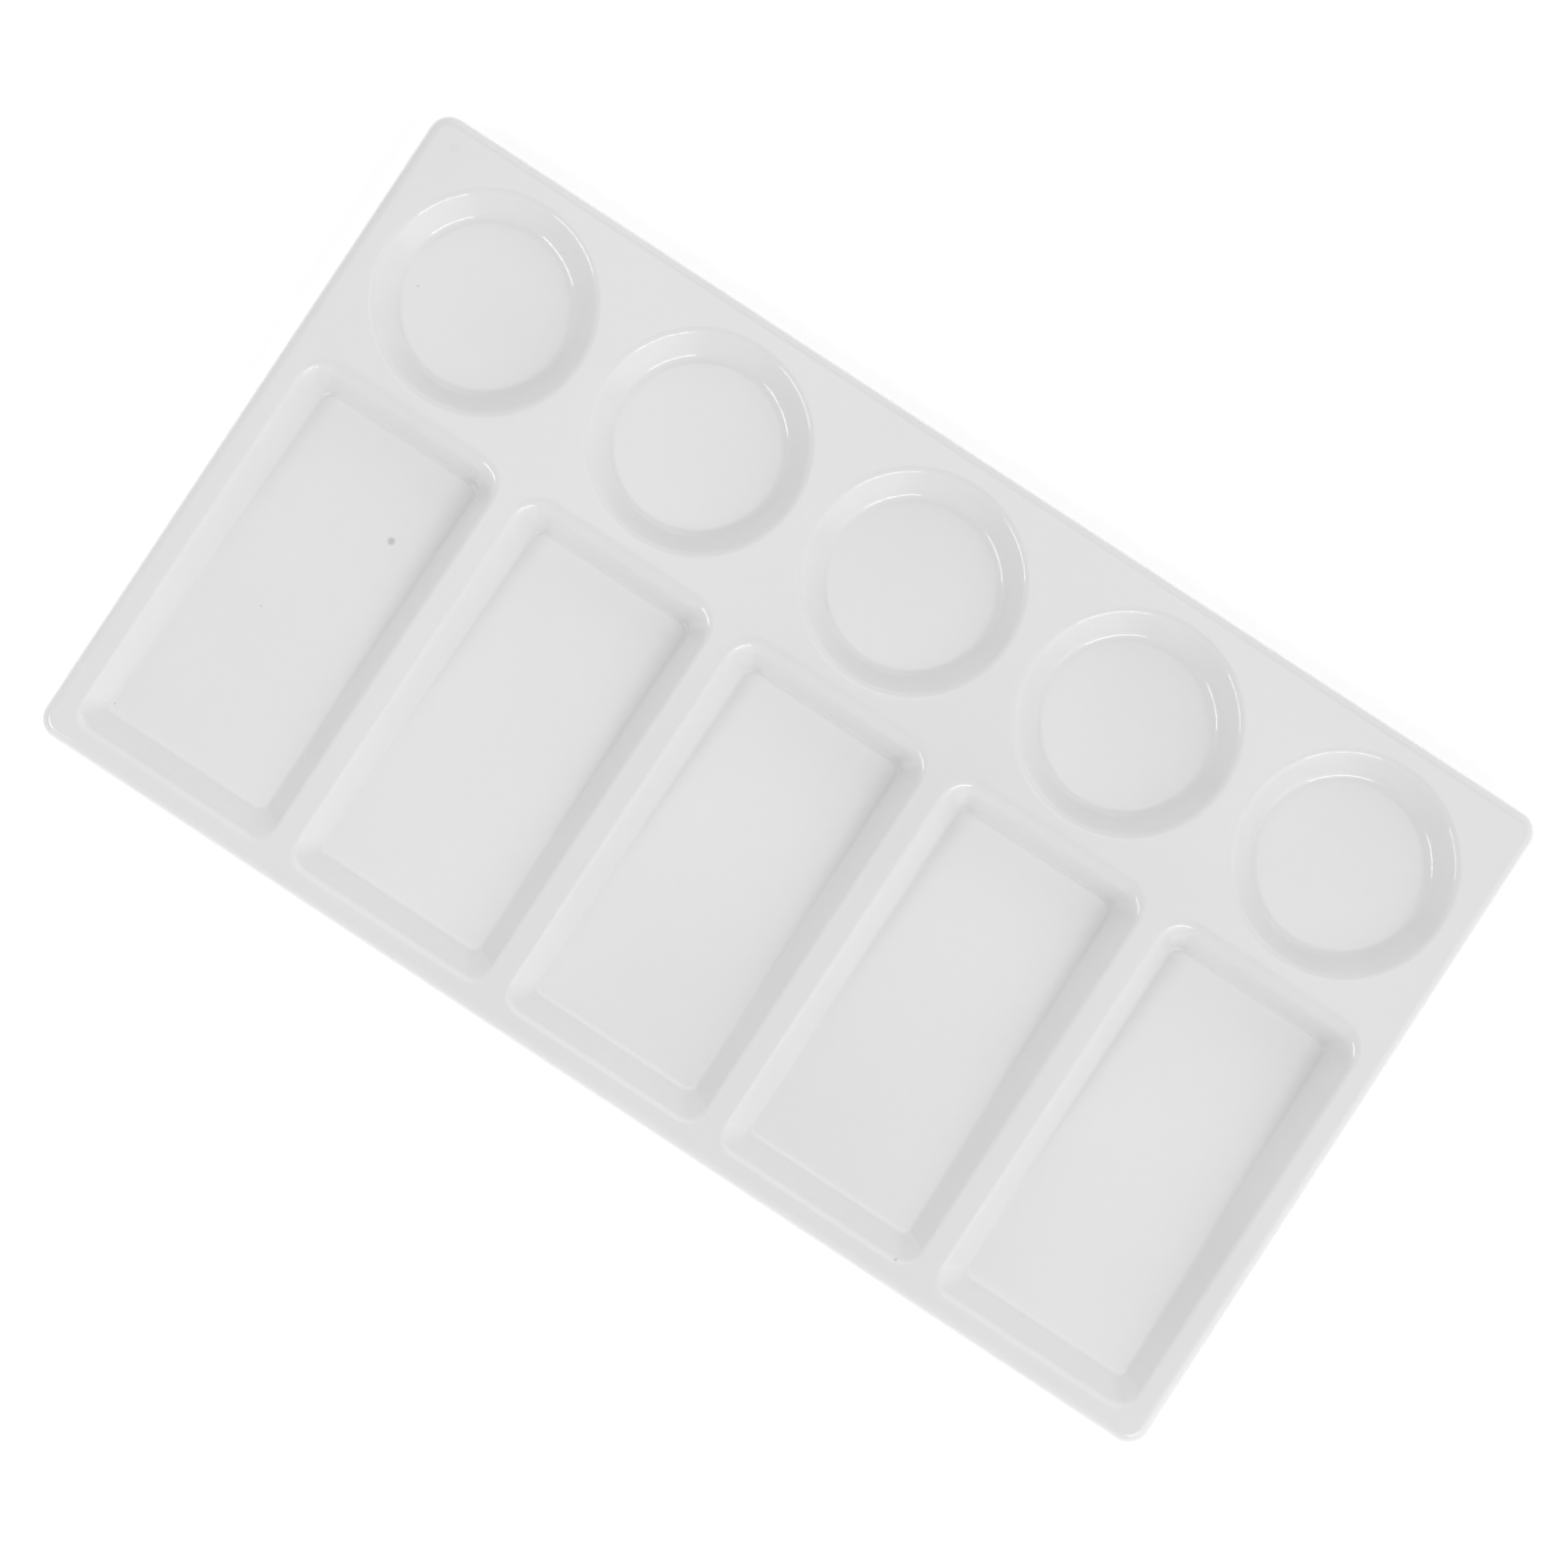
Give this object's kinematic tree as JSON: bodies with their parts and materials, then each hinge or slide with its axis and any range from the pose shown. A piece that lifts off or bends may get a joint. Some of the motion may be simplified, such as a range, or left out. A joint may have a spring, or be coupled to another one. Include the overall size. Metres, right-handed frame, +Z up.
{
  "type": "mixing palette",
  "caption": "Flat rectangular paint tray in glossy white plastic, with a row of round paint wells above a row of sloping rectangular mixing wells.",
  "frame": {"origin": "middle of the outline, on the table the skirt rests on", "axes": "+X along the long side, +Y towards the row of round wells, +Z up out of the wells"},
  "size_m": [0.32, 0.181, 0.012],
  "materials": {
    "white_plastic": "glossy, slightly wavy moulded surface"
  },
  "bodies": {
    "root": {"palette_tray": "white_plastic"}
  },
  "joints": []
}
